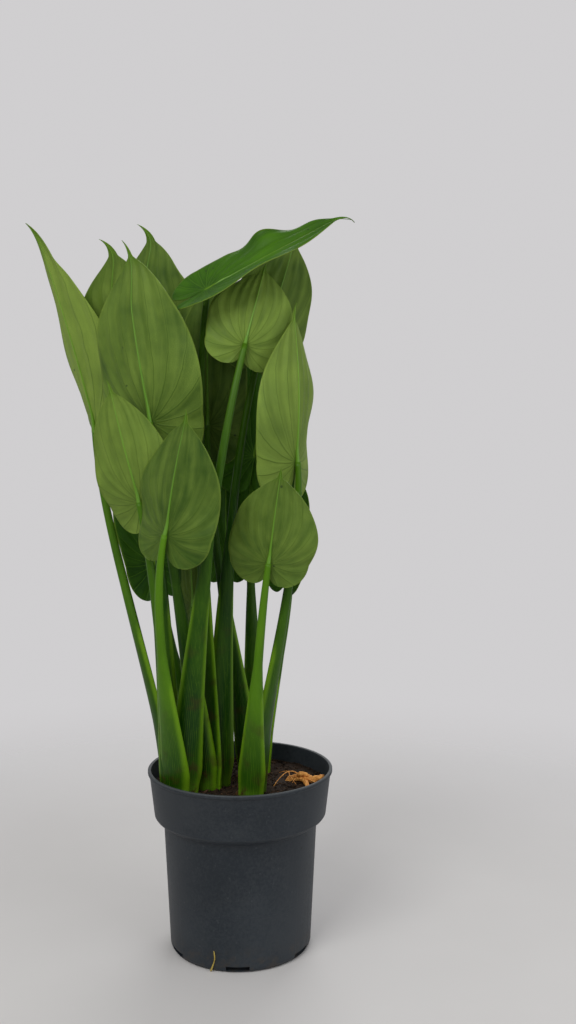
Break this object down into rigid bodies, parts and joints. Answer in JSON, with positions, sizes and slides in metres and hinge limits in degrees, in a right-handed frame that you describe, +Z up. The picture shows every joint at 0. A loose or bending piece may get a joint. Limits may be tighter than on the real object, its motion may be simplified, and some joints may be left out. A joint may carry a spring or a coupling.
{
  "type": "potted chinese taro",
  "caption": "Potted Chinese taro: broad heart-shaped leaves held upright on sheathing stalks, in a round banded nursery pot of soil.",
  "frame": {"origin": "centre of the pot's flat base, on the surface it stands on", "axes": "+Z up, along the stalks and the pot's axis; +X to the right and -Y towards the viewer in the source picture"},
  "size_m": [0.4646, 0.3093, 1.0602],
  "materials": {
    "pot_plastic": "matte dark blue-grey, dusty",
    "soil": "crumbly, damp",
    "stalk": "smooth, slightly glossy",
    "leaf": "satin above, matte and paler beneath",
    "root": "matte, fibrous"
  },
  "bodies": {
    "root": {"pot": "pot_plastic", "soil": "soil", "shoot_left": "stalk", "shoot_middle": "stalk", "shoot_right": "stalk", "shoot_back_left": "stalk", "shoot_back_right": "stalk", "leaf_far_left": "leaf", "leaf_left_low": "leaf", "leaf_left_high": "leaf", "leaf_front_low": "leaf", "leaf_back_left_low": "leaf", "leaf_centre_left": "leaf", "leaf_middle_left": "leaf", "leaf_middle": "leaf", "leaf_arching": "leaf", "leaf_centre_right": "leaf", "leaf_right_high": "leaf", "leaf_right_low": "leaf", "leaf_back_right_high": "leaf", "leaf_back_right": "leaf", "leaf_back_right_low": "leaf", "leaf_back_middle": "leaf", "leaf_back_middle_low": "leaf", "leaf_young": "leaf", "surface_root": "root", "drain_root": "root"}
  },
  "joints": []
}
